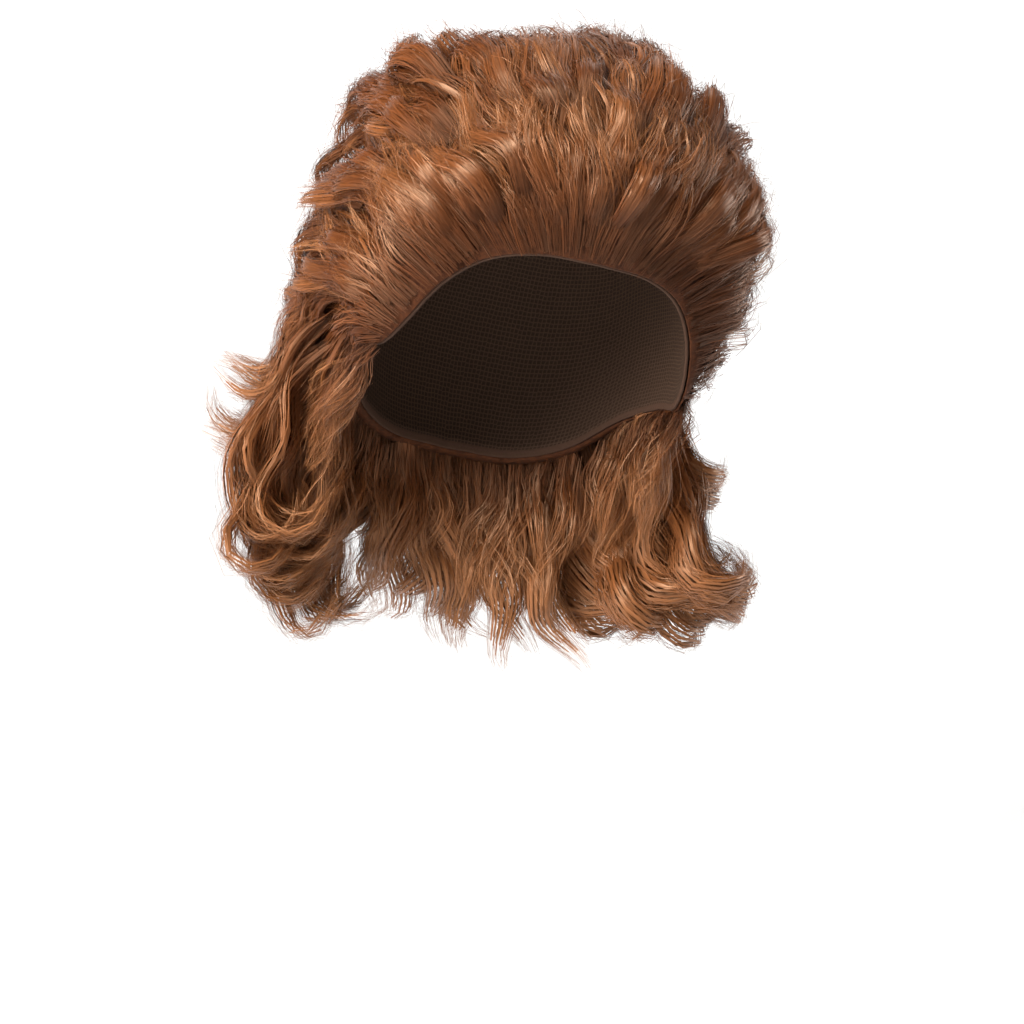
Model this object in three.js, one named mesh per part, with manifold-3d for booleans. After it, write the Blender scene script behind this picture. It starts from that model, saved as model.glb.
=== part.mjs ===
// A mullet wig: a thin fitted cap that carries sections of teased, swept-back hair, with long curled
// locks hanging below the cap at the sides and the nape. Millimetres, +Z up, the wearer faces -Y and
// the wearer's left is +X. The origin is the middle of the head at its widest girth.
import * as THREE from 'three';
import { mergeVertices } from 'three/addons/utils/BufferGeometryUtils.js';
import Module from 'manifold-3d';

const wasm = await Module();
wasm.setup();

// Driving dimensions
const HEAD = { halfWidth: 77.5, halfDepth: 99, halfHeight: 104 };
const CAP_WALL = 1.5;
const SEAT_GAP = 0.8;
const PIECE_GAP = 0.6;
const PARTING = { angle: 0.2, share: 0.004 };
const GRID = { angle: 12, share: 0.125 };

// Edge of the cap: its height over the head's widest girth, by angle from the forehead to the nape
const RIM = [
  { angle: 0, height: 50 },
  { angle: 25, height: 48 },
  { angle: 45, height: 38 },
  { angle: 57, height: 22 },
  { angle: 65, height: 5 },
  { angle: 75, height: -9 },
  { angle: 92, height: -13 },
  { angle: 112, height: -24 },
  { angle: 130, height: -44 },
  { angle: 150, height: -55 },
  { angle: 180, height: -58 },
];

// Depth of the packed hair over the cap, by angle from the forehead, at four shares of the way
// from the top of the head to the edge of the cap
const PACKED_SHARES = [0, 0.45, 0.8, 1];
const PACKED = [
  { angle: 0, top: 45, upper: 45, lower: 36, edge: 5 },
  { angle: 50, top: 45, upper: 44, lower: 28, edge: 5 },
  { angle: 90, top: 45, upper: 40, lower: 12, edge: 5 },
  { angle: 130, top: 45, upper: 36, lower: 19, edge: 9 },
  { angle: 180, top: 45, upper: 34, lower: 21, edge: 11 },
];

// Sections of hair, from the outermost layer to the innermost. Each covers a stretch of the cap between
// two angles and two shares of the way down it, and each of its tiers is a row of locks: how many, the
// angles they stand between, the share of the way down where they root, how deep the root sinks in the
// packed hair, their length and width, their lift at the root and flick at the tip in degrees, the share
// of the length where the flick starts, their turn to the side in degrees, and the rings they are drawn with
const SECTIONS = [
  {
    name: 'front_hair', from: -48, to: 48, top: 0.5, bottom: 1,
    tiers: [
      {
        count: 6, from: -44, to: 30, root: 0.88, sink: 12, length: 106, width: 34,
        lift: 74, flick: -25, bend: 0.4, aside: 0, rings: 4,
      },
      {
        count: 4, from: -44, to: 30, root: 0.62, sink: 8, length: 86, width: 42,
        lift: 36, flick: -30, bend: 0.4, aside: 0, rings: 3,
      },
    ],
  },
  {
    name: 'crown_hair', from: 0, to: 360, top: 0, bottom: 0.5,
    tiers: [
      {
        count: 2, from: -90, to: 30, root: 0.14, sink: 8, length: 84, width: 46,
        lift: 16, flick: -20, bend: 0.4, aside: 0, rings: 3,
      },
      {
        count: 4, from: -112, to: -54, root: 0.42, sink: 5, length: 86, width: 38,
        lift: 34, flick: -30, bend: 0.4, aside: 0, rings: 3,
      },
      {
        count: 2, from: 20, to: 76, root: 0.32, sink: 10, length: 84, width: 40,
        lift: 20, flick: -20, bend: 0.4, aside: 0, rings: 3,
      },
      {
        count: 3, from: 130, to: 230, root: 0.34, sink: 6, length: 86, width: 54,
        lift: 26, flick: -25, bend: 0.4, aside: 0, rings: 3,
      },
    ],
  },
  {
    name: 'side_hair_right', from: -108, to: -48, top: 0.5, bottom: 1,
    tiers: [
      {
        count: 3, from: -98, to: -56, root: 0.62, sink: 8, length: 96, width: 36,
        lift: 30, flick: -25, bend: 0.4, aside: 0, rings: 3,
      },
      {
        count: 3, from: -104, to: -78, root: 0.85, sink: 4, length: 92, width: 30,
        lift: 46, flick: 20, bend: 0.4, aside: -28, rings: 3,
      },
    ],
  },
  {
    name: 'side_hair_left', from: 48, to: 108, top: 0.5, bottom: 1,
    tiers: [
      {
        count: 3, from: 58, to: 100, root: 0.6, sink: 13, length: 96, width: 34,
        lift: 20, flick: -25, bend: 0.4, aside: 0, rings: 3,
      },
      {
        count: 3, from: 64, to: 100, root: 0.85, sink: 6, length: 92, width: 30,
        lift: 20, flick: -15, bend: 0.4, aside: 0, rings: 3,
      },
      {
        count: 2, from: 86, to: 102, root: 0.93, sink: 3, length: 72, width: 24,
        lift: 8, flick: -14, bend: 0.3, aside: 0, rings: 3,
      },
    ],
  },
  {
    name: 'back_hair', from: 108, to: 252, top: 0.5, bottom: 0.75,
    tiers: [
      {
        count: 3, from: 132, to: 228, root: 0.56, sink: 8, length: 96, width: 54,
        lift: 28, flick: -15, bend: 0.4, aside: 0, rings: 3,
      },
      {
        count: 4, from: 124, to: 236, root: 0.7, sink: 8, length: 92, width: 48,
        lift: 26, flick: 20, bend: 0.4, aside: 0, rings: 4,
      },
    ],
  },
  {
    name: 'nape_hair_right', from: -156, to: -108, top: 0.75, bottom: 1,
    tiers: [
      {
        count: 3, from: -146, to: -114, root: 0.8, sink: 5, length: 113, width: 50,
        lift: 34, flick: 135, bend: 0.46, aside: 0, rings: 4,
      },
      {
        count: 3, from: -146, to: -116, root: 0.92, sink: 4, length: 152, width: 46,
        lift: 30, flick: -195, bend: 0.54, aside: 0, rings: 6,
      },
    ],
  },
  {
    name: 'nape_hair_left', from: 108, to: 156, top: 0.75, bottom: 1,
    tiers: [
      {
        count: 3, from: 110, to: 146, root: 0.8, sink: 5, length: 136, width: 44,
        lift: 30, flick: 190, bend: 0.5, aside: -62, rings: 5,
      },
      {
        count: 3, from: 112, to: 142, root: 0.92, sink: 4, length: 168, width: 46,
        lift: 42, flick: 200, bend: 0.48, aside: -72, rings: 6,
      },
    ],
  },
  {
    name: 'nape_hair_back', from: 156, to: 204, top: 0.75, bottom: 1,
    tiers: [
      {
        count: 2, from: 168, to: 192, root: 0.8, sink: 5, length: 112, width: 50,
        lift: 22, flick: 80, bend: 0.4, aside: 0, rings: 3,
      },
      {
        count: 2, from: 168, to: 192, root: 0.92, sink: 4, length: 114, width: 50,
        lift: 10, flick: 56, bend: 0.4, aside: 0, rings: 4,
      },
    ],
  },
];

// How hair lies: it sweeps back and fans out above the ears, and falls below them, leaning a little
const SWEEP = { push: 55, fan: 0.55, fallsBelow: 20, fallenBy: -45 };
const FALL = new THREE.Vector3(0.23, 0, -1).normalize();
const LOCK = { sides: 5, strides: 30, flatness: 0.52, liftShare: 0.5 };
const FULLNESS = { root: 0.6, fullest: 0.45, tip: 0.4 };
const WOBBLE = { length: 0.22, flick: 0.35, turn: 34, angle: 0.35 };

const hairColour = new THREE.Color(0x8a5534);
const capColour = new THREE.Color(0x3a2416);

const radians = THREE.MathUtils.degToRad;
const smooth = THREE.MathUtils.smoothstep;

// A smooth curve through one column of a table
function curveThrough(places, values) {
  const interpolant = new THREE.CubicInterpolant(places, values, 1, [0]);
  return (place) => interpolant.evaluate(place)[0];
}

const column = (table, name) => table.map((row) => row[name]);
const rimHeight = curveThrough(column(RIM, 'angle'), column(RIM, 'height'));
const packedCurves = ['top', 'upper', 'lower', 'edge'].map((name) =>
  curveThrough(column(PACKED, 'angle'), column(PACKED, name)),
);

// An angle as degrees away from the middle of the forehead, 0 to 180
function fromForehead(angle) {
  const turned = Math.abs(angle) % 360;
  return turned > 180 ? 360 - turned : turned;
}

// Depth of packed hair at an angle and a share of the way down the cap
function packedDepth(angle, share) {
  const away = fromForehead(angle);
  return curveThrough(PACKED_SHARES, packedCurves.map((curve) => curve(away)))(share);
}

// A point over the head: angle from the forehead, share of the way from the top to the cap's edge, and height
function overHead(angle, share, height) {
  const toRim = Math.acos(rimHeight(fromForehead(angle)) / HEAD.halfHeight);
  const down = toRim * share;
  const round = radians(angle);
  const point = new THREE.Vector3(
    HEAD.halfWidth * Math.sin(down) * Math.sin(round),
    -HEAD.halfDepth * Math.sin(down) * Math.cos(round),
    HEAD.halfHeight * Math.cos(down),
  );
  const out = new THREE.Vector3(
    point.x / HEAD.halfWidth ** 2, point.y / HEAD.halfDepth ** 2, point.z / HEAD.halfHeight ** 2,
  ).normalize();
  return point.addScaledVector(out, height);
}

// The way out of the head at a point in the hair, level below the head's widest girth
function outwardAt(point) {
  return new THREE.Vector3(
    point.x / HEAD.halfWidth ** 2, point.y / HEAD.halfDepth ** 2, Math.max(point.z, 0) / HEAD.halfHeight ** 2,
  ).normalize();
}

// The way hair runs at a point, along the head
function flowAt(point, outward) {
  const fanned = point.y < 0 ? SWEEP.fan * point.x : 0;
  const swept = new THREE.Vector3(fanned, Math.max(point.z, 0) + SWEEP.push, -point.y).normalize();
  const fallen = 1 - smooth(point.z, SWEEP.fallenBy, SWEEP.fallsBelow);
  const flow = swept.lerp(FALL, fallen);
  return flow.addScaledVector(outward, -flow.dot(outward)).normalize();
}

// A repeatable number from -0.5 to 0.5 for one lock and one use
function wobble(lock, use) {
  const wave = Math.sin(lock * 12.9898 + use * 78.233) * 43758.5453;
  return wave - Math.floor(wave) - 0.5;
}

// The locks of a tier, each with its own length, flick and turn
function locksOf(tier, seed) {
  return Array.from({ length: tier.count }, (_, i) => {
    const id = seed + i;
    const step = (tier.to - tier.from) / (tier.count - 1);
    return {
      ...tier,
      angle: tier.from + step * (i + WOBBLE.angle * wobble(id, 1)),
      length: tier.length * (1 + WOBBLE.length * wobble(id, 2)),
      flick: tier.flick * (1 + WOBBLE.flick * wobble(id, 3)),
      turn: tier.aside + WOBBLE.turn * wobble(id, 4),
    };
  });
}

// The path of a lock from root to tip, with the way across it and out of it at each stride
function pathOf(lock) {
  const stations = [];
  const depth = packedDepth(lock.angle, lock.root) - lock.sink;
  const point = overHead(lock.angle, lock.root, CAP_WALL + SEAT_GAP + depth);
  for (let i = 0; i <= LOCK.strides; i++) {
    const t = i / LOCK.strides;
    const outward = outwardAt(point);
    const heading = radians(
      lock.lift * (1 - smooth(t, 0, LOCK.liftShare)) + lock.flick * smooth(t, lock.bend, 1),
    );
    const flow = flowAt(point, outward).applyAxisAngle(outward, radians(lock.turn) * t);
    const along = flow.clone().multiplyScalar(Math.cos(heading)).addScaledVector(outward, Math.sin(heading));
    const across = new THREE.Vector3().crossVectors(flow, outward).normalize();
    const out = new THREE.Vector3().crossVectors(across, along).normalize();
    stations.push({ point: point.clone(), across, out });
    point.addScaledVector(along, lock.length / LOCK.strides);
  }
  return stations;
}

// How full a lock is along its length: from its root to its widest, then down to its tip
function fullness(t) {
  const { root, fullest, tip } = FULLNESS;
  return t < fullest
    ? THREE.MathUtils.lerp(root, 1, smooth(t, 0, fullest))
    : THREE.MathUtils.lerp(1, tip, ((t - fullest) / (1 - fullest)) ** 2);
}

// A closed geometry with each of its vertices moved by a function
function moved(geometry, place) {
  const position = geometry.getAttribute('position');
  const point = new THREE.Vector3();
  for (let i = 0; i < position.count; i++) {
    const to = place(point.fromBufferAttribute(position, i));
    position.setXYZ(i, to.x, to.y, to.z);
  }
  return geometry;
}

// A three.js geometry as a solid for cutting and joining
function solidOf(geometry) {
  geometry.deleteAttribute('normal');
  geometry.deleteAttribute('uv');
  const merged = mergeVertices(geometry, 1e-3);
  const solid = new wasm.Manifold(new wasm.Mesh({
    numProp: 3,
    vertProperties: merged.getAttribute('position').array,
    triVerts: new Uint32Array(merged.index.array),
  }));
  if (solid.volume() > 0) return solid;
  const turned = new Uint32Array(merged.index.array).reverse();
  return new wasm.Manifold(new wasm.Mesh({
    numProp: 3, vertProperties: merged.getAttribute('position').array, triVerts: turned,
  }));
}

// A lock as a tapered flat tube round its path, swollen by a margin
function lockSolid(lock, margin) {
  const stations = pathOf(lock);
  const tube = new THREE.CylinderGeometry(1, 1, 1, LOCK.sides, lock.rings);
  return solidOf(moved(tube, (v) => {
    const stride = Math.round((v.y + 0.5) * LOCK.strides);
    const { point, across, out } = stations[stride];
    const full = fullness(stride / LOCK.strides);
    return point.clone()
      .addScaledVector(across, v.x * (0.5 * lock.width * full + margin))
      .addScaledVector(out, v.z * (0.5 * LOCK.flatness * lock.width * full + margin));
  }));
}

// A wall over the head that goes all the way round, between two shares and two heights
function roundWall({ top, bottom }, low, high) {
  const rows = Math.round((bottom - top) / GRID.share);
  const span = (k) => top + ((bottom - top) * k) / rows;
  const profile = [];
  for (let k = 0; k <= rows; k++) profile.push(new THREE.Vector2(span(k), 0));
  for (let k = rows; k >= 0; k--) profile.push(new THREE.Vector2(span(k), 1));
  const lathe = new THREE.LatheGeometry(profile, 360 / GRID.angle);
  return solidOf(moved(lathe, (v) => {
    const share = Math.hypot(v.x, v.z);
    const angle = THREE.MathUtils.radToDeg(Math.atan2(v.x, v.z));
    return overHead(angle, share, v.y > 0.5 ? high(angle, share) : low);
  }));
}

// A patch of wall over the head between two angles and two shares
function patchWall({ from, to, top, bottom }, low, high) {
  const columns = Math.round((to - from) / GRID.angle);
  const rows = Math.round((bottom - top) / GRID.share);
  const box = new THREE.BoxGeometry(1, 1, 1, columns, rows, 1);
  return solidOf(moved(box, (v) => {
    const angle = THREE.MathUtils.lerp(from, to, v.x + 0.5);
    const share = THREE.MathUtils.lerp(bottom, top, v.y + 0.5);
    return overHead(angle, share, v.z > 0 ? high(angle, share) : low);
  }));
}

// The packed hair of a section, next to the cap, swollen by a margin
function packedSolid(section, margin) {
  const grown = margin > 0 ? -1 : 1;
  const round = section.to - section.from >= 360;
  const area = {
    ...section,
    from: section.from + grown * PARTING.angle,
    to: section.to - grown * PARTING.angle,
    top: section.top > 0 ? section.top + grown * PARTING.share : 0,
    bottom: section.bottom < 1 ? section.bottom - grown * PARTING.share : 1,
  };
  const low = CAP_WALL + SEAT_GAP;
  const high = (angle, share) => low + margin + packedDepth(angle, share);
  return round ? roundWall(area, low, high) : patchWall(area, low, high);
}

// A whole section: packed hair with its locks fused to it
function sectionSolid(section, seed, margin) {
  let solid = packedSolid(section, margin);
  let id = seed;
  for (const tier of section.tiers) {
    for (const lock of locksOf(tier, id)) solid = solid.add(lockSolid(lock, margin));
    id += tier.count;
  }
  return solid;
}

// The largest of the bodies that a cut or a join leaves, without the pockets sealed inside it
function largestBody(solid) {
  return solid.decompose().reduce((a, b) => (b.volume() > a.volume() ? b : a));
}

function meshOf(name, solid, colour, roughness) {
  const { vertProperties, triVerts } = solid.getMesh();
  const geometry = new THREE.BufferGeometry();
  geometry.setAttribute('position', new THREE.BufferAttribute(vertProperties, 3));
  geometry.setIndex(new THREE.BufferAttribute(triVerts, 1));
  geometry.computeVertexNormals();
  const material = new THREE.MeshStandardMaterial({ color: colour, roughness, metalness: 0 });
  const mesh = new THREE.Mesh(geometry, material);
  mesh.name = name;
  return mesh;
}

const wig = new THREE.Group();
wig.name = 'mullet_wig';

const capArea = { top: 0, bottom: 1 };
wig.add(meshOf('cap', roundWall(capArea, 0, () => CAP_WALL), capColour, 0.9));

// Each section is cut back from the sections that lie over it
let laidOver = null;
let seed = 0;
for (const section of SECTIONS) {
  const whole = sectionSolid(section, seed, 0);
  const seen = largestBody(laidOver ? whole.subtract(laidOver) : whole);
  wig.add(meshOf(section.name, seen, hairColour, 0.55));
  const swollen = sectionSolid(section, seed, PIECE_GAP);
  laidOver = laidOver ? laidOver.add(swollen) : swollen;
  seed += section.tiers.reduce((sum, tier) => sum + tier.count, 0);
}

export default wig;
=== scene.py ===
import bmesh
import bpy
import numpy as np
from mathutils import Matrix, Vector


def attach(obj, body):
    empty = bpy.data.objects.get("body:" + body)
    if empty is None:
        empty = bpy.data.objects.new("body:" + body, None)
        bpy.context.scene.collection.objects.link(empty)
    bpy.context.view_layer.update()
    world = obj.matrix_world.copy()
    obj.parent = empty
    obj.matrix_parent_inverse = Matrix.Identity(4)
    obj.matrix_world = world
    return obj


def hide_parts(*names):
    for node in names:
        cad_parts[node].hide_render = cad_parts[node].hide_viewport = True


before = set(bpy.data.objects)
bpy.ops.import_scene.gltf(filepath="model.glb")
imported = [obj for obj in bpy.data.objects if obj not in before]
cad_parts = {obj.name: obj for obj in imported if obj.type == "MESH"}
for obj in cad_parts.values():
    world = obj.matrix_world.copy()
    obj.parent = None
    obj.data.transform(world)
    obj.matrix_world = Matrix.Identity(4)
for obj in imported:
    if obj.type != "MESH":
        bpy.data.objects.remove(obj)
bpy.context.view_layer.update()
print("frame loaded:", len(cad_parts), "nodes")

mm = 0.001  # sizes are in millimetres until a mesh is made

# the block that the cap is fitted to, and the room between the cap and the hair
block = dict(halfWidth=77.5, halfDepth=99.0, halfHeight=104.0, capWall=1.5, seatGap=0.8)
halfSizes = np.array([block["halfWidth"], block["halfDepth"], block["halfHeight"]])
hairBase = block["capWall"] + block["seatGap"]

# edge of the cap: height over the widest girth, by angle from the middle of the front
rim = dict(
    angle=[0, 25, 45, 57, 65, 75, 92, 112, 130, 150, 180],
    height=[50, 48, 38, 22, 5, -9, -13, -24, -44, -55, -58],
    margin=1.003,
)

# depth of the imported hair, by angle, at shares of the way from the top to the cap's edge
packed = dict(
    share=[0, 0.45, 0.8, 1],
    angle=[0, 50, 90, 130, 180],
    depth=[[45, 45, 45, 45, 45], [45, 44, 40, 36, 34], [36, 28, 12, 19, 21], [5, 5, 5, 9, 11]],
)

# hair sweeps back and fans out high up, and lower down it falls with a little lean
sweep = dict(push=55, fan=0.55, fallsBelow=20, fallenBy=-45, fall=(0.23, 0, -1))
path = dict(
    steps=30, reach=1.2, flatness=0.52,
    liftShare=0.5, curlStart=0.6, curlEnd=1.1, settledBy=0.3, risesFrom=0.2,
)
full = dict(root=0.6, fullest=0.45, tip=0.4)
vary = dict(length=0.22, flick=0.35, turn=34, angle=0.35)
scatter = dict(lock=12.9898, use=78.233, size=43758.5453)


def unit(v):
    return v / np.linalg.norm(v, axis=-1, keepdims=True)


def ease(x, low, high):
    s = np.clip((x - low) / (high - low), 0, 1)
    return s * s * (3 - 2 * s)


def curveThrough(places, values, at):
    # a cubic whose slope at each point is the mean of the slopes on its two sides
    places = np.asarray(places, float)
    values = np.broadcast_to(np.asarray(values, float), at.shape + places.shape)
    step = np.diff(places)
    rise = np.diff(values, axis=-1) / step
    slope = np.concatenate([rise[..., :1], (rise[..., 1:] + rise[..., :-1]) / 2, rise[..., -1:]], -1)
    i = np.clip(np.searchsorted(places, at, side="right") - 1, 0, len(step) - 1)
    p = (at - places[i]) / step[i]

    def pick(table, k):
        return np.take_along_axis(table, k[..., None], -1)[..., 0]

    start, end = pick(values, i), pick(values, i + 1)
    leave, arrive = pick(slope, i) * step[i], pick(slope, i + 1) * step[i]
    bend = p * p * (3 - 2 * p)
    return start + (end - start) * bend + leave * p * (1 - p) ** 2 - arrive * p * p * (1 - p)


def fromFront(angle):
    turned = np.abs(angle) % 360
    return np.where(turned > 180, 360 - turned, turned)


def toRim(angle):
    height = curveThrough(rim["angle"], rim["height"], fromFront(angle))
    return np.arccos(height / block["halfHeight"])


def packedDepth(angle, share):
    away = fromFront(angle)
    rows = [curveThrough(packed["angle"], row, away) for row in packed["depth"]]
    return curveThrough(packed["share"], np.stack(rows, -1), np.clip(share, 0, 1))


def overBlock(angle, share, height):
    down, turned = toRim(angle) * share, np.radians(angle)
    onBlock = np.stack([np.sin(down) * np.sin(turned), -np.sin(down) * np.cos(turned), np.cos(down)], -1)
    return onBlock * halfSizes + unit(onBlock / halfSizes) * height[..., None]


def outwardAt(point):
    level = point.copy()
    level[..., 2] = np.maximum(level[..., 2], 0)
    return unit(level / halfSizes ** 2)


def flowAt(point, outward):
    x, y, z = np.moveaxis(point, -1, 0)
    fanned = np.where(y < 0, sweep["fan"] * x, 0)
    swept = unit(np.stack([fanned, np.maximum(z, 0) + sweep["push"], -y], -1))
    fallen = (1 - ease(z, sweep["fallenBy"], sweep["fallsBelow"]))[..., None]
    flow = swept + (unit(np.array(sweep["fall"], float)) - swept) * fallen
    return unit(flow - outward * (flow * outward).sum(-1, keepdims=True))


def turnedBy(v, axis, angle):
    c, s = np.cos(angle)[..., None], np.sin(angle)[..., None]
    return v * c + np.cross(axis, v) * s + axis * (axis * v).sum(-1, keepdims=True) * (1 - c)


def heightOver(point):
    # height over the block, angle from the front and the share of the way down the cap
    scaled = point / halfSizes
    size = np.linalg.norm(scaled, axis=-1)
    height = (size - 1) * size / np.linalg.norm(scaled / halfSizes, axis=-1)
    angle = np.degrees(np.arctan2(scaled[..., 0], -scaled[..., 1]))
    return height, angle, np.arccos(np.clip(scaled[..., 2] / size, -1, 1)) / toRim(angle)


def keptLaid(point, locks, t):
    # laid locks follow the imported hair: from their sunk roots they rise to lie on it
    height, angle, share = heightOver(point)
    sunk = locks["sunk"] * (1 - ease(t, 0, path["settledBy"]))
    wanted = hairBase + packedDepth(angle, share) + sunk + locks["laid"] * ease(t, path["risesFrom"], 1)
    held = np.where(share < 1, wanted - height, 0)
    return point + unit(point / halfSizes ** 2) * held[:, None]


def growLocks(locks):
    # the way of each lock from root to tip, with the directions across it and out of it
    point = overBlock(locks["angle"], locks["root"], locks["height"])
    stations = []
    for i in range(int(path["steps"] * path["reach"]) + 1):
        t = i / path["steps"]
        outward = outwardAt(point)
        lifted = locks["lift"] * (1 - ease(t, 0, path["liftShare"]))
        curled = locks["curl"] * ease(t, path["curlStart"], path["curlEnd"])
        tipped = locks["flick"] * ease(t, locks["bend"], 1) + curled
        heading = np.radians(lifted + tipped)[:, None]
        flow = turnedBy(flowAt(point, outward), outward, np.radians(locks["turn"]) * t)
        along = flow * np.cos(heading) + outward * np.sin(heading)
        across = unit(np.cross(flow, outward))
        stations.append((point, across, unit(np.cross(across, along))))
        point = point + along * (locks["length"] / path["steps"])[:, None]
        if "laid" in locks:
            point = keptLaid(point, locks, t)
    return [np.stack(part, 1) for part in zip(*stations)]


def wobble(lock, use):
    wave = np.sin(lock * scatter["lock"] + use * scatter["use"]) * scatter["size"]
    return wave - np.floor(wave) - 0.5


def rowOfLocks(tier, firstLock):
    # the same locks as the solid's, one row of the table
    number = firstLock + np.arange(tier["count"])
    step = (tier["end"] - tier["start"]) / (tier["count"] - 1)
    angle = tier["start"] + step * (np.arange(tier["count"]) + vary["angle"] * wobble(number, 1))
    root = np.full(tier["count"], tier["root"], float)
    return dict(
        angle=angle,
        root=root,
        height=hairBase - tier["sink"] + packedDepth(angle, root),
        length=tier["length"] * (1 + vary["length"] * wobble(number, 2)),
        flick=tier["flick"] * (1 + vary["flick"] * wobble(number, 3)),
        turn=tier["aside"] + vary["turn"] * wobble(number, 4),
        lift=np.full(tier["count"], tier["lift"], float),
        bend=np.full(tier["count"], tier["bend"], float),
        width=np.full(tier["count"], tier["width"], float),
    )


def fullness(t):
    swell = full["root"] + (1 - full["root"]) * ease(t, 0, full["fullest"])
    late = np.clip((t - full["fullest"]) / (1 - full["fullest"]), 0, 1)
    return np.where(t < full["fullest"], swell, 1 + (full["tip"] - 1) * late ** 2)


# strands: flat tufts of a few hairs, fine single hairs and broad bands under them, and how they lie in a lock
strand = dict(
    fine=0.2, tip=0.3, taperFrom=0.5, widths=(0.7, 1.3), mapWidth=0.07, bandMap=0.045, mapEnd=0.99,
    roll=0.12, face=0.6, skin=0.75, skinFrom=0.78, wrap=0.15, longest=1.02, bandEnds=(0.92, 1.04),
)
wave = dict(drift=0.04, least=0.4, unlike=1.2, slowest=0.75, quicker=0.5, grow=(0.05, 0.6))
frizz = dict(
    tuft=0.6, fine=1.9, grow=0.7, slowest=1, quicker=2.5, skew=1.1,
    stray=0.55, out=6.0, outLeast=0.3, arch=2.4, archPower=1.3, aside=2.4, asidePower=1.5, kink=0.15,
)
# each lock and strand gets a random tone; fine hairs are toned lighter, a painted glint on the frizz
toning = dict(lock=0.58, each=0.07, fine=0.08, lightest=0.93)


def spreadStrands(section, bandNumber, band, rng):
    # where strands lie across a lock: most in the skin of its outer side, bands evenly under them
    many = len(band)
    outside = rng.random(many) < section["outer"]
    onOuter = rng.uniform(-strand["wrap"], 1 + strand["wrap"], many)
    way = np.where(outside, onOuter, rng.uniform(0, 2, many)) * np.pi
    inSkin = rng.random(many) < strand["skin"]
    far = np.where(inSkin, rng.uniform(strand["skinFrom"], 1, many), np.sqrt(rng.random(many)))
    evenly = ((bandNumber + 0.5) / max(section["bands"], 1) * section["bandSpan"] - strand["wrap"]) * np.pi
    return np.where(band, evenly, way), np.where(band, section["bandDepth"], far)


def reachStrands(section, band, segments, rng):
    # stations along each strand, as shares of its lock's length
    many = len(band)
    t = np.linspace(0, 1, segments + 1)[None, :]
    reach = section["shortest"] + (strand["longest"] - section["shortest"]) * np.sqrt(rng.random(many))
    reach = np.where(band, section["bandReach"] * rng.uniform(*strand["bandEnds"], many), reach)
    begin = section["stagger"] * rng.random(many)[:, None] ** 2
    return begin + t * (reach[:, None] - begin)


def betweenSteps(table, lock, along):
    spot = along * path["steps"]
    low = np.minimum(spot.astype(int), table.shape[1] - 2)
    rows, before = table[lock], low[..., None]
    first = np.take_along_axis(rows, before, 1)
    return first + (np.take_along_axis(rows, before + 1, 1) - first) * (spot - low)[..., None]


def waveStrands(section, length, own, fine, band, along, rng):
    # a lock waves as one, and each strand drifts a little and frizzes by itself
    many = len(band)
    turns = length / section["waveLength"] * (wave["slowest"] + wave["quicker"] * own[:, 0])
    drift = np.where(band, 0, wave["drift"]) * rng.normal(size=many)
    phase = turns[:, None] * along + (own[:, 1] + drift)[:, None]
    grow = ease(along, *wave["grow"])
    unlike = wave["least"] + wave["unlike"] * own
    x = section["waveSide"] * unlike[:, 2:3] * np.sin(2 * np.pi * phase) * grow
    y = section["waveOut"] * unlike[:, 3:4] * np.sin(2 * np.pi * (phase + own[:, 4:5])) * grow
    turns = frizz["slowest"] + frizz["quicker"] * rng.random(many)
    curl = 2 * np.pi * (turns[:, None] * along + rng.random(many)[:, None])
    size = np.where(band, 0, np.where(fine, frizz["fine"], frizz["tuft"])) * np.abs(rng.normal(size=many))
    loose = size[:, None] * ease(along, 0, frizz["grow"])
    x = x + loose * np.sin(curl)
    y = y + loose * np.cos(frizz["skew"] * curl)

    # some fine hairs stray out of the lock in an arch
    strays = fine & (rng.random(many) < frizz["stray"])
    away = (strays * frizz["out"] * (frizz["outLeast"] + rng.random(many)))[:, None]
    y = y + away * np.sin(frizz["arch"] * along ** frizz["archPower"])
    leant = frizz["aside"] * (rng.random(many) - 0.5)[:, None] * along ** frizz["asidePower"]
    return x + away * leant + frizz["kink"] * away * np.sin(curl), y


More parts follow.
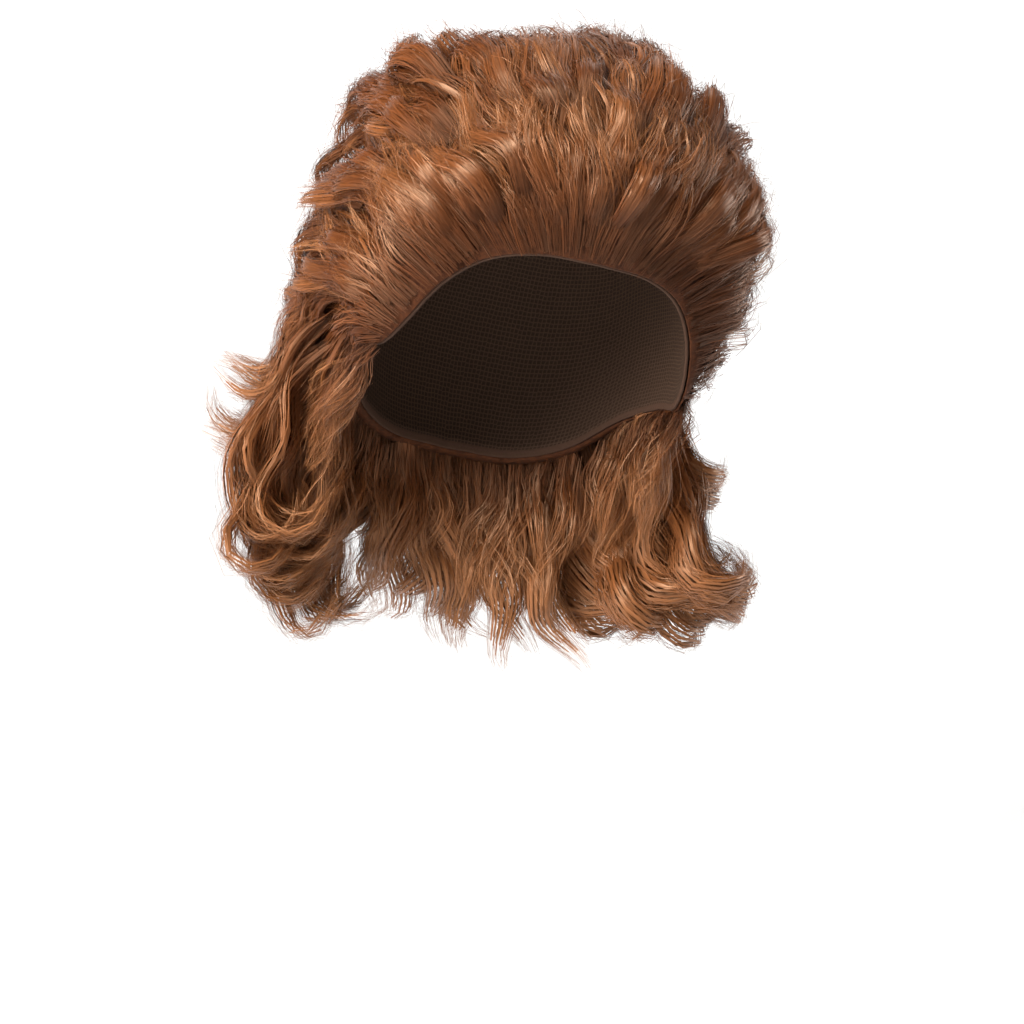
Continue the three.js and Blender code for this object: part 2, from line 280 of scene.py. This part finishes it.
def strandPoints(locks, section, tufts, fines, segments, rng):
    # every strand's middle line, side direction, tint, width and map width, a row of stations for each strand
    points, across, out = growLocks(locks)
    each = tufts + fines + section["bands"]
    lock = np.repeat(np.arange(len(locks["angle"])), each)
    many = len(lock)
    number = np.arange(many) % each
    fine = (number >= tufts) & (number < tufts + fines)
    band = number >= tufts + fines
    own = rng.random((len(locks["angle"]), 6))[lock]
    way, far = spreadStrands(section, number - tufts - fines, band, rng)
    along = reachStrands(section, band, segments, rng)
    middle, side, up = [betweenSteps(table, lock, along) for table in (points, across, out)]
    half = 0.5 * locks["width"][lock][:, None] * fullness(along) * (1 - section["gather"] * along ** 2)
    x, y = waveStrands(section, locks["length"][lock], own, fine, band, along, rng)
    x = x + (far * np.cos(way))[:, None] * half
    y = y + (far * np.sin(way))[:, None] * half * path["flatness"]

    # no strand goes through the cap
    spots = middle + side * x[..., None] + up * y[..., None]
    height, _, share = heightOver(spots)
    short = np.where(share < rim["margin"], np.maximum(hairBase - height, 0), 0)
    spots = spots + unit(spots / halfSizes ** 2) * short[..., None]

    # flat sides face out of the lock, and each lock and strand has a shade of its own; fine hairs are toned
    # lighter, a painted glint on the frizz
    facing = np.arctan2(np.sin(way), np.cos(way) * path["flatness"] * strand["face"])
    turn = (facing + strand["roll"] * rng.normal(size=many))[:, None, None]
    tint = section["shade"] + toning["lock"] * (own[:, 5] - 0.5) + toning["each"] * rng.normal(size=many)
    tint = np.clip(tint + toning["fine"] * fine, 0, toning["lightest"])
    width = np.where(band, section["bandWidth"], np.where(fine, strand["fine"], section["tuft"]))
    mapped = np.where(band, strand["bandMap"], strand["mapWidth"] * width)
    width = width * rng.uniform(*strand["widths"], many)
    return spots, up * np.cos(turn) - side * np.sin(turn), tint, width, mapped


def ribbonMesh(name, bundles, rootTone):
    # one joined mesh of flat tapered strands, with a map of tint across and root to tip along
    corners, quads, maps, first = [], [], [], 0
    for spots, side, tint, thickness, mapped in bundles:
        many, rows = spots.shape[:2]
        t = np.linspace(0, 1, rows)
        width = thickness[:, None] * (1 + (strand["tip"] - 1) * ease(t, strand["taperFrom"], 1))[None, :]
        half = side * (0.5 * width)[..., None]
        pair = np.stack([spots - half, spots + half], 2)
        corners.append(pair.reshape(-1, 3))
        number = first + np.arange(many * rows * 2).reshape(many, rows, 2)
        quad = np.stack([number[:, :-1, 0], number[:, :-1, 1], number[:, 1:, 1], number[:, 1:, 0]], -1)
        quads.append(quad.reshape(-1, 4))
        u = np.stack([tint, tint + mapped], -1)[:, None, :].repeat(rows, 1)
        v = np.broadcast_to(rootTone + (strand["mapEnd"] - rootTone) * t[None, :, None], u.shape)
        maps.append(np.stack([u, v], -1).reshape(-1, 2))
        first += many * rows * 2
    corners, quads, maps = np.concatenate(corners), np.concatenate(quads), np.concatenate(maps)
    mesh = bpy.data.meshes.new(name)
    mesh.vertices.add(len(corners))
    mesh.vertices.foreach_set("co", (corners * mm).astype(np.float32).ravel())
    mesh.loops.add(quads.size)
    mesh.loops.foreach_set("vertex_index", quads.astype(np.int32).ravel())
    mesh.polygons.add(len(quads))
    mesh.polygons.foreach_set("loop_start", np.arange(0, quads.size, 4, dtype=np.int32))
    layer = mesh.uv_layers.new(name="OFBake")
    layer.uv.foreach_set("vector", maps[quads.ravel()].astype(np.float32).ravel())
    mesh.update(calc_edges=True)
    mesh.validate()
    mesh.shade_smooth()
    return mesh


def addPiece(name, mesh, material, replaced):
    piece = bpy.data.objects.new(name, mesh)
    bpy.context.scene.collection.objects.link(piece)
    mesh.materials.append(material)
    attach(piece, "root")
    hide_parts(replaced)


def newMaterial(name):
    material = bpy.data.materials.new(name)
    material.use_nodes = True
    return material, material.node_tree, material.node_tree.nodes["Principled BSDF"]


def colourRamp(tree, stops):
    ramp = tree.nodes.new("ShaderNodeValToRGB")
    ramp.color_ramp.interpolation = "B_SPLINE"
    while len(ramp.color_ramp.elements) < len(stops):
        ramp.color_ramp.elements.new(0.5)
    for element, (at, colour) in zip(ramp.color_ramp.elements, stops):
        element.position = at
        element.color = (*colour, 1)
    return ramp


def mapRange(tree, source, target):
    node = tree.nodes.new("ShaderNodeMapRange")
    for name, value in zip(("From Min", "From Max", "To Min", "To Max"), (*source, *target)):
        node.inputs[name].default_value = value
    return node


def bumpOf(tree, finish):
    bump = tree.nodes.new("ShaderNodeBump")
    bump.inputs["Strength"].default_value = finish["bump"]
    bump.inputs["Distance"].default_value = finish["relief"] * mm
    return bump


def ownMap(tree, scale):
    # the piece's own map: its two parts, and a copy scaled for a pattern
    where = tree.nodes.new("ShaderNodeUVMap")
    where.uv_map = "OFBake"
    parts = tree.nodes.new("ShaderNodeSeparateXYZ")
    scaled = tree.nodes.new("ShaderNodeVectorMath")
    scaled.operation = "MULTIPLY"
    scaled.inputs[1].default_value = scale
    tree.links.new(where.outputs["UV"], parts.inputs[0])
    tree.links.new(where.outputs["UV"], scaled.inputs[0])
    return parts, scaled


# hair finish: dark dull roots, partly the hair's own darker roots and partly painted shade deep in the hair,
# warm middle, lighter tips, each strand its own shade with fine streaks
hairFinish = dict(
    roots=[
        (0.0, (0.028, 0.006, 0.001)), (0.25, (0.07, 0.016, 0.003)),
        (0.6, (0.138, 0.042, 0.0115)), (1.0, (0.205, 0.077, 0.0258)),
    ],
    shades=[(0.0, (0.4, 0.34, 0.28)), (0.5, (1.0, 1.0, 1.0)), (1.0, (1.65, 1.9, 2.25))],
    streaks=(110.0, 2.2, 0.0), streakDetail=2, streakFrom=(0.36, 0.64), streakTo=(0.62, 1.34),
    dullFrom=(0.05, 0.4), roughness=(0.9, 0.4), specular=0.6, glint=(1.0, 0.64, 0.4, 1), anisotropy=0.75,
    bump=0.5, relief=0.1,
)


def hairMaterial():
    material, tree, shader = newMaterial("hair")
    parts, drawn = ownMap(tree, hairFinish["streaks"])
    # colour darkens towards the roots: partly the hair's own darker roots, partly painted shade deep in the
    # hair
    shadedRootsToTip = colourRamp(tree, hairFinish["roots"])
    shade = colourRamp(tree, hairFinish["shades"])
    noise = tree.nodes.new("ShaderNodeTexNoise")
    noise.inputs["Scale"].default_value = 1
    noise.inputs["Detail"].default_value = hairFinish["streakDetail"]
    streak = mapRange(tree, hairFinish["streakFrom"], hairFinish["streakTo"])
    dulled = mapRange(tree, hairFinish["dullFrom"], hairFinish["roughness"])
    shaded, streaked = [tree.nodes.new("ShaderNodeMix") for _ in range(2)]
    for mixed in (shaded, streaked):
        mixed.data_type = "RGBA"
        mixed.blend_type = "MULTIPLY"
        mixed.inputs["Factor"].default_value = 1
    bump = bumpOf(tree, hairFinish)
    lie = tree.nodes.new("ShaderNodeTangent")
    lie.direction_type = "UV_MAP"
    lie.uv_map = "OFBake"
    link = tree.links.new
    link(drawn.outputs["Vector"], noise.inputs["Vector"])
    link(noise.outputs["Fac"], streak.inputs["Value"])
    link(noise.outputs["Fac"], bump.inputs["Height"])
    link(parts.outputs["X"], shade.inputs["Fac"])
    link(parts.outputs["Y"], shadedRootsToTip.inputs["Fac"])
    link(parts.outputs["Y"], dulled.inputs["Value"])
    link(shadedRootsToTip.outputs["Color"], shaded.inputs["A"])
    link(shade.outputs["Color"], shaded.inputs["B"])
    link(shaded.outputs["Result"], streaked.inputs["A"])
    link(streak.outputs["Result"], streaked.inputs["B"])
    link(streaked.outputs["Result"], shader.inputs["Base Color"])
    link(dulled.outputs["Result"], shader.inputs["Roughness"])
    link(bump.outputs["Normal"], shader.inputs["Normal"])
    link(lie.outputs["Tangent"], shader.inputs["Tangent"])
    shader.inputs["Specular IOR Level"].default_value = hairFinish["specular"]
    shader.inputs["Specular Tint"].default_value = hairFinish["glint"]
    shader.inputs["Anisotropic"].default_value = hairFinish["anisotropy"]
    return material


def wallMesh(name, area, low, high):
    # a closed wall over the block: a grid whose first half is its outside and second half its inside
    columns = int((area["end"] - area["start"]) / area["columnStep"])
    rows = int((area["bottom"] - area["top"]) / area["rowStep"])
    work = bmesh.new()
    work.loops.layers.uv.new("OFBake")
    bmesh.ops.create_grid(work, x_segments=columns, y_segments=2 * rows + 1, size=1, calc_uvs=True)
    spots = np.array([v.co for v in work.verts])
    across = (spots[:, 0] + 1) / 2
    level = np.rint((spots[:, 1] + 1) / 2 * (2 * rows + 1))
    outer = level <= rows
    share = area["top"] + (area["bottom"] - area["top"]) * np.where(outer, level, 2 * rows + 1 - level) / rows
    angle = area["start"] + (area["end"] - area["start"]) * across
    placed = overBlock(angle, share, np.where(outer, high(angle, share), low)) * mm
    for vert, spot in zip(work.verts, placed):
        vert.co = spot
    bmesh.ops.remove_doubles(work, verts=work.verts, dist=area["weld"] * mm)
    bmesh.ops.holes_fill(work, edges=work.edges, sides=0)
    bmesh.ops.recalc_face_normals(work, faces=work.faces)
    mesh = bpy.data.meshes.new(name)
    work.to_mesh(mesh)
    work.free()
    mesh.shade_smooth()
    return mesh


# packed hair under the strands, coloured very dark: painted shade for the depth under the strands
core = dict(inset=4.5, thinnest=0.6, columnStep=4.0, rowStep=0.04, weld=0.02)
coreFinish = dict(
    dark=(0.016, 0.0046, 0.0013), light=(0.065, 0.019, 0.0055), darkest=0.3, lightest=0.75,
    grain=420.0, grainDetail=3, roughness=0.8, specular=0.1, bump=0.4, relief=0.6,
)


def coreMaterial():
    material, tree, shader = newMaterial("packed_hair_painted_shade")
    where = tree.nodes.new("ShaderNodeTexCoord")
    grain = tree.nodes.new("ShaderNodeTexNoise")
    grain.inputs["Scale"].default_value = coreFinish["grain"]
    grain.inputs["Detail"].default_value = coreFinish["grainDetail"]
    # the very dark colours are painted shade where the packed hair lies deep under the strands
    stops = [(coreFinish["darkest"], coreFinish["dark"]), (coreFinish["lightest"], coreFinish["light"])]
    ramp = colourRamp(tree, stops)
    bump = bumpOf(tree, coreFinish)
    link = tree.links.new
    link(where.outputs["Object"], grain.inputs["Vector"])
    link(grain.outputs["Fac"], ramp.inputs["Fac"])
    link(grain.outputs["Fac"], bump.inputs["Height"])
    link(ramp.outputs["Color"], shader.inputs["Base Color"])
    link(bump.outputs["Normal"], shader.inputs["Normal"])
    shader.inputs["Roughness"].default_value = coreFinish["roughness"]
    shader.inputs["Specular IOR Level"].default_value = coreFinish["specular"]
    return material


def coreMesh(section):
    def top(angle, share):
        return hairBase + np.maximum(packedDepth(angle, share) - core["inset"], core["thinnest"])

    return wallMesh(section["node"] + "_core", {**section, **core}, hairBase, top)


# the cap: a thin net with a plain hem at its edge, which is halfway up its map
cap = dict(node="cap", start=0, end=360, top=0.0, bottom=1.0, columnStep=4.0, rowStep=0.03, weld=0.02)
capFinish = dict(
    net=(0.05, 0.028, 0.017), holes=(0.018, 0.009, 0.005), hem=(0.04, 0.02, 0.012),
    meshes=(240.0, 190.0, 0.0), uneven=0.25, threadTo=0.04, holesFrom=0.2, hemAt=0.5, hemShare=0.016,
    roughness=0.85, specular=0.1, bump=0.5, relief=0.4,
)


def capMaterial():
    material, tree, shader = newMaterial("cap_net")
    parts, spread = ownMap(tree, capFinish["meshes"])
    cells = tree.nodes.new("ShaderNodeTexVoronoi")
    cells.feature = "DISTANCE_TO_EDGE"
    cells.inputs["Scale"].default_value = 1
    cells.inputs["Randomness"].default_value = capFinish["uneven"]
    stops = [(capFinish["threadTo"], capFinish["net"]), (capFinish["holesFrom"], capFinish["holes"])]
    thread = colourRamp(tree, stops)
    fromEdge = tree.nodes.new("ShaderNodeMath")
    fromEdge.operation = "COMPARE"
    fromEdge.inputs[1].default_value = capFinish["hemAt"]
    fromEdge.inputs[2].default_value = capFinish["hemShare"]
    hemmed = tree.nodes.new("ShaderNodeMix")
    hemmed.data_type = "RGBA"
    hemmed.inputs["B"].default_value = (*capFinish["hem"], 1)
    bump = bumpOf(tree, capFinish)
    bump.invert = True
    link = tree.links.new
    link(spread.outputs["Vector"], cells.inputs["Vector"])
    link(cells.outputs["Distance"], thread.inputs["Fac"])
    link(cells.outputs["Distance"], bump.inputs["Height"])
    link(parts.outputs["Y"], fromEdge.inputs[0])
    link(fromEdge.outputs["Value"], hemmed.inputs["Factor"])
    link(thread.outputs["Color"], hemmed.inputs["A"])
    link(hemmed.outputs["Result"], shader.inputs["Base Color"])
    link(bump.outputs["Normal"], shader.inputs["Normal"])
    shader.inputs["Roughness"].default_value = capFinish["roughness"]
    shader.inputs["Specular IOR Level"].default_value = capFinish["specular"]
    return material


def buildCap():
    mesh = wallMesh("cap_net", cap, 0.0, lambda angle, share: block["capWall"])
    addPiece("cap_net", mesh, capMaterial(), cap["node"])
    print("cap faces:", len(mesh.polygons) * 2)


buildCap()

# how the finer locks differ from the solid's lock that they make up
finer = dict(depth=0.34, root=0.025, roots=(0.02, 0.99), lift=0.25, longest=1.01, leastRadius=20)


def finerLocks(locks, section, rng):
    each = section["each"]
    lock = np.repeat(np.arange(len(locks["angle"])), each)
    many = len(lock)
    width, height = locks["width"][lock], locks["height"][lock]
    radius = halfSizes[:2].mean() * np.sin(toRim(locks["angle"][lock]) * locks["root"][lock]) + height
    radius = np.maximum(radius, finer["leastRadius"])
    aside = (np.tile(np.arange(each), len(locks["angle"])) + rng.random(many)) / each - 0.5
    return dict(
        angle=locks["angle"][lock] + np.degrees(2 * aside * section["side"] * width / radius),
        root=np.clip(locks["root"][lock] + finer["root"] * rng.normal(size=many), *finer["roots"]),
        height=height + finer["depth"] * path["flatness"] * width * rng.uniform(-1, 1, many),
        length=locks["length"][lock] * (finer["longest"] - section["lengthSpread"] * rng.random(many)),
        flick=locks["flick"][lock] + section["flickSpread"] * rng.normal(size=many),
        curl=section["curl"] + section["curlSpread"] * rng.normal(size=many),
        bend=locks["bend"][lock],
        turn=locks["turn"][lock] + section["unlike"] * rng.normal(size=many),
        lift=locks["lift"][lock] * (1 + finer["lift"] * rng.uniform(-1, 1, many)),
        width=width * section["share"],
    )


# thin locks laid over the imported hair, those that hide the cap's edge, and how both vary; both are toned
# darker than the locks above them, painted shade for the depth they lie at
laidHair = dict(length=70, width=16, sinks=(-5, -3), fines=4, bands=2, shade=0.25)
hairline = dict(
    length=60, width=13, sinks=(-6.6, -1.5), roots=(0.985, 1.012), over=6, bands=0, shade=0.4, stagger=0.2,
)
laidVary = dict(
    golden=0.61803, angle=0.03, length=(0.75, 1.25), flick=12, flicks=(-0.3, 0.7),
    bend=0.4, turn=(-20, 20), rise=(2, 7),
)


def laidLocks(area, count, kind, roots, rng):
    # from roots between two shares of the way down the cap
    number = np.arange(count)
    along = (number * laidVary["golden"] + laidVary["angle"] * rng.random(count)) % 1
    angle = area["start"] + (area["end"] - area["start"]) * along
    share = roots[0] + (roots[1] - roots[0]) * (number + rng.random(count)) / count
    sunk = rng.uniform(*kind["sinks"], count)
    return dict(
        angle=angle,
        root=share,
        height=hairBase + packedDepth(angle, share) + sunk,
        length=kind["length"] * rng.uniform(*laidVary["length"], count),
        flick=laidVary["flick"] * rng.uniform(*laidVary["flicks"], count),
        curl=np.zeros(count),
        bend=np.full(count, laidVary["bend"]),
        turn=area["turn"] + rng.uniform(*laidVary["turn"], count),
        lift=np.zeros(count),
        width=np.full(count, float(kind["width"])),
        sunk=sunk,
        laid=rng.uniform(*laidVary["rise"], count),
    )


# locks of each section: the solid's tiers, the finer locks and strands in them, their waves and curls
plain = dict(bend=0.4, aside=0)
swept = dict(
    segments=10, laidSegments=7, tuft=0.36, outer=0.8, gather=0.62, shortest=0.62, lengthSpread=0.3,
    waveLength=70, waveSide=5.0, waveOut=5.5, flickSpread=18, curl=-20, curlSpread=26, unlike=10, turn=0,
    stagger=0.0, shade=0.47, rootTone=0.01, share=0.46, side=0.38,
    bands=8, bandSpan=1.3, bandDepth=0.6, bandReach=0.8, bandWidth=2.0,
    laidTufts=20, lineTufts=18, lineFines=12,
)
hanging = dict(
    segments=14, laidSegments=7, tuft=0.38, outer=0.15, gather=0.25, shortest=0.86, lengthSpread=0.1,
    waveLength=72, waveSide=7.0, waveOut=4.5, flickSpread=16, curl=0, curlSpread=16, unlike=12, turn=0,
    stagger=0.0, shade=0.47, rootTone=0.2, share=0.62, side=0.36,
    bands=14, bandSpan=2.0, bandDepth=0.58, bandReach=0.9, bandWidth=2.6,
    laid=0, lineTufts=18, lineFines=6,
)
frontHair = dict(
    swept, node="front_hair", seed=11, start=-48, end=48, top=0.5, bottom=1.0,
    tiers=[
        dict(plain, count=6, start=-44, end=30, root=0.88, sink=12, length=106, width=34, lift=74, flick=-25),
        dict(plain, count=4, start=-44, end=30, root=0.62, sink=8, length=86, width=42, lift=36, flick=-30),
    ],
    each=6, tufts=46, fines=22, laid=50, hairline=64,
)
crownHair = dict(
    swept, node="crown_hair", seed=12, start=0, end=360, top=0.0, bottom=0.5,
    tiers=[
        dict(plain, count=2, start=-90, end=30, root=0.14, sink=8, length=84, width=46, lift=16, flick=-20),
        dict(plain, count=4, start=-112, end=-54, root=0.42, sink=5, length=86, width=38, lift=34, flick=-30),
        dict(plain, count=2, start=20, end=76, root=0.32, sink=10, length=84, width=40, lift=20, flick=-20),
        dict(plain, count=3, start=130, end=230, root=0.34, sink=6, length=86, width=54, lift=26, flick=-25),
    ],
    each=7, tufts=46, fines=22, laid=90, hairline=0, share=0.53, gather=0.55,
)
sideHairRight = dict(
    swept, node="side_hair_right", seed=13, start=-108, end=-48, top=0.5, bottom=1.0,
    tiers=[
        dict(plain, count=3, start=-98, end=-56, root=0.62, sink=8, length=96, width=36, lift=30, flick=-25),
        dict(
            plain, count=3, start=-104, end=-78, root=0.85, sink=4, length=92, width=30, lift=46, flick=20,
            aside=-28,
        ),
    ],
    each=6, tufts=46, fines=22, laid=56, hairline=38, turn=-40,
)
sideHairLeft = dict(
    swept, node="side_hair_left", seed=14, start=48, end=108, top=0.5, bottom=1.0,
    tiers=[
        dict(plain, count=3, start=58, end=100, root=0.6, sink=13, length=96, width=34, lift=20, flick=-25),
        dict(plain, count=3, start=64, end=100, root=0.85, sink=6, length=92, width=30, lift=20, flick=-15),
        dict(
            plain, count=2, start=86, end=102, root=0.93, sink=3, length=72, width=24, lift=8, flick=-14,
            bend=0.3,
        ),
    ],
    each=6, tufts=46, fines=22, laid=56, hairline=38,
)
backHair = dict(
    swept, node="back_hair", seed=15, start=108, end=252, top=0.5, bottom=0.75,
    tiers=[
        dict(plain, count=3, start=132, end=228, root=0.56, sink=8, length=96, width=54, lift=28, flick=-15),
        dict(plain, count=4, start=124, end=236, root=0.7, sink=8, length=92, width=48, lift=26, flick=20),
    ],
    each=8, tufts=46, fines=20, laid=50, hairline=0, share=0.58, gather=0.45,
)
napeHairRight = dict(
    hanging, node="nape_hair_right", seed=16, start=-156, end=-108, top=0.75, bottom=1.0,
    tiers=[
        dict(
            plain, count=3, start=-146, end=-114, root=0.8, sink=5, length=113, width=50, lift=34, flick=135,
            bend=0.46,
        ),
        dict(
            plain, count=3, start=-146, end=-116, root=0.92, sink=4, length=152, width=46, lift=30,
            flick=-195, bend=0.54,
        ),
    ],
    each=8, tufts=66, fines=24, hairline=20, share=0.78, waveSide=5.5,
)
napeHairLeft = dict(
    hanging, node="nape_hair_left", seed=17, start=108, end=156, top=0.75, bottom=1.0,
    tiers=[
        dict(
            count=3, start=110, end=146, root=0.8, sink=5, length=136, width=44, lift=30, flick=190,
            bend=0.5, aside=-62,
        ),
        dict(
            count=3, start=112, end=142, root=0.92, sink=4, length=168, width=46, lift=42, flick=200,
            bend=0.48, aside=-72,
        ),
    ],
    each=8, tufts=56, fines=24, hairline=20, waveOut=3.0, flickSpread=10, curlSpread=10,
)
napeHairBack = dict(
    hanging, node="nape_hair_back", seed=18, start=156, end=204, top=0.75, bottom=1.0,
    tiers=[
        dict(plain, count=2, start=168, end=192, root=0.8, sink=5, length=112, width=50, lift=22, flick=80),
        dict(plain, count=2, start=168, end=192, root=0.92, sink=4, length=114, width=50, lift=10, flick=56),
    ],
    each=11, tufts=50, fines=20, hairline=20, side=0.6,
)
sections = [
    frontHair, crownHair, sideHairRight, sideHairLeft, backHair, napeHairRight, napeHairLeft, napeHairBack,
]


def laidStrands(section, rng):
    roots = section["top"], section["bottom"]
    locks = laidLocks(section, section["laid"], laidHair, roots, rng)
    # laid locks take a darker tone: painted shade in the gaps between the locks above
    lying = dict(section, bands=laidHair["bands"], shade=laidHair["shade"])
    counts = section["laidTufts"], laidHair["fines"], section["laidSegments"]
    return strandPoints(locks, lying, *counts, rng)


def hairlineStrands(section, rng):
    wider = dict(section, start=section["start"] - hairline["over"], end=section["end"] + hairline["over"])
    locks = laidLocks(wider, section["hairline"], hairline, hairline["roots"], rng)
    # hairline locks take a slightly darker tone: painted shade low in the hair
    fringe = dict(section, bands=hairline["bands"], shade=hairline["shade"], stagger=hairline["stagger"])
    counts = section["lineTufts"], section["lineFines"], section["laidSegments"]
    return strandPoints(locks, fringe, *counts, rng)


def buildSection(section, firstLock):
    rng = np.random.default_rng(section["seed"])
    counts = section["tufts"], section["fines"], section["segments"]
    bundles = []
    for tier in section["tiers"]:
        locks = finerLocks(rowOfLocks(tier, firstLock), section, rng)
        bundles.append(strandPoints(locks, section, *counts, rng))
        firstLock += tier["count"]
    if section["laid"]:
        bundles.append(laidStrands(section, rng))
    if section["hairline"]:
        bundles.append(hairlineStrands(section, rng))
    mesh = ribbonMesh(section["node"] + "_strands", bundles, section["rootTone"])
    addPiece(section["node"] + "_strands", mesh, hair, section["node"])
    addPiece(section["node"] + "_core", coreMesh(section), packedHairShaded, section["node"])
    print(section["node"], "strands:", sum(len(b[0]) for b in bundles), "triangles:", len(mesh.polygons) * 2)
    return firstLock


hair = hairMaterial()
packedHairShaded = coreMaterial()
nextLock = 0
for section in sections:
    nextLock = buildSection(section, nextLock)

# plain pale floor that sweeps up behind, in metres
stageSize = dict(low=-0.42, width=6.0, front=3.0, back=2.2, sweep=0.9, sweepSteps=16, height=3.4)
stageFinish = dict(colour=(0.78, 0.78, 0.78, 1), roughness=0.9)


def stageMaterial():
    material, _, shader = newMaterial("pale_floor")
    shader.inputs["Base Color"].default_value = stageFinish["colour"]
    shader.inputs["Roughness"].default_value = stageFinish["roughness"]
    return material


def buildStage():
    work = bmesh.new()
    half = stageSize["width"] / 2
    line = [work.verts.new((-half, y, stageSize["low"])) for y in (-stageSize["front"], stageSize["back"])]
    work.edges.new(line)
    hub = (-half, stageSize["back"], stageSize["low"] + stageSize["sweep"])
    bent = bmesh.ops.spin(
        work, geom=[line[1]], axis=(1, 0, 0), cent=hub,
        angle=np.pi / 2, steps=stageSize["sweepSteps"], use_duplicate=False,
    )
    last = [g for g in bent["geom_last"] if isinstance(g, bmesh.types.BMVert)][0]
    wall = bmesh.ops.extrude_vert_indiv(work, verts=[last])["verts"][0]
    wall.co.z = stageSize["height"]
    across = bmesh.ops.extrude_edge_only(work, edges=work.edges[:])["geom"]
    moved = [g for g in across if isinstance(g, bmesh.types.BMVert)]
    bmesh.ops.translate(work, verts=moved, vec=(stageSize["width"], 0, 0))
    bmesh.ops.recalc_face_normals(work, faces=work.faces)
    mesh = bpy.data.meshes.new("floor")
    work.to_mesh(mesh)
    work.free()
    mesh.shade_smooth()
    mesh.materials.append(stageMaterial())
    floor = bpy.data.objects.new("floor", mesh)
    bpy.context.scene.collection.objects.link(floor)


buildStage()

# camera at the photograph's angle: origin is the pixel where the middle of the block falls in the frame
camera = dict(
    azimuth=-18.0, elevation=3.7, roll=13.3, distance=2.6, lens=188.2, sensor=36,
    origin=(520, 351), middle=512, pixelsPerMm=2.06,
)


def buildCamera():
    azimuth, elevation, roll = np.radians([camera["azimuth"], camera["elevation"], camera["roll"]])
    flat = np.cos(elevation)
    back = Vector((np.sin(azimuth) * flat, -np.cos(azimuth) * flat, np.sin(elevation)))
    level = Vector((np.cos(azimuth), np.sin(azimuth), 0))
    upright = back.cross(level)
    right = level * np.cos(roll) + upright * np.sin(roll)
    up = upright * np.cos(roll) - level * np.sin(roll)
    px, py = camera["origin"]
    scale = mm / camera["pixelsPerMm"]
    aim = right * (camera["middle"] - px) * scale - up * (camera["middle"] - py) * scale
    lens = bpy.data.cameras.new("camera")
    lens.lens = camera["lens"]
    lens.sensor_width = camera["sensor"]
    eye = bpy.data.objects.new("camera", lens)
    turned = Matrix((right, up, back)).transposed().to_4x4()
    eye.matrix_world = Matrix.Translation(aim + back * camera["distance"]) @ turned
    bpy.context.scene.collection.objects.link(eye)
    bpy.context.scene.camera = eye


buildCamera()

# soft studio light: a key in front, one at each side, one above, one on the backdrop and a pale surround
lights = [
    dict(name="key", at=(-1.0, -0.95, 1.35), aim=(0, 0, 0), size=0.7, power=66),
    dict(name="side", at=(-1.6, -0.7, 0.1), aim=(-0.1, 0.05, -0.08), size=0.7, power=66),
    dict(name="fill", at=(1.9, -0.1, 0.4), aim=(0.1, 0.05, 0), size=1.0, power=38),
    dict(name="top", at=(0.29, 0.79, 1.59), aim=(0, 0, 0), size=0.9, power=8),
    dict(name="backdrop", at=(0.6, 1.2, 1.9), aim=(1.1, 3.1, 0.4), size=2.0, power=44),
]
surround = dict(colour=(1.0, 0.98, 0.95, 1), strength=0.24)


def buildLights():
    for light in lights:
        lamp = bpy.data.lights.new(light["name"], "AREA")
        lamp.energy = light["power"]
        lamp.size = light["size"]
        holder = bpy.data.objects.new(light["name"], lamp)
        holder.location = light["at"]
        toLight = Vector(light["at"]) - Vector(light["aim"])
        holder.rotation_euler = toLight.to_track_quat("Z", "Y").to_euler()
        bpy.context.scene.collection.objects.link(holder)
    world = bpy.data.worlds.new("surround")
    world.use_nodes = True
    background = world.node_tree.nodes["Background"]
    background.inputs["Color"].default_value = surround["colour"]
    background.inputs["Strength"].default_value = surround["strength"]
    bpy.context.scene.world = world
    bpy.context.scene.view_settings.view_transform = "Standard"


buildLights()
print("stage, camera and lights placed")
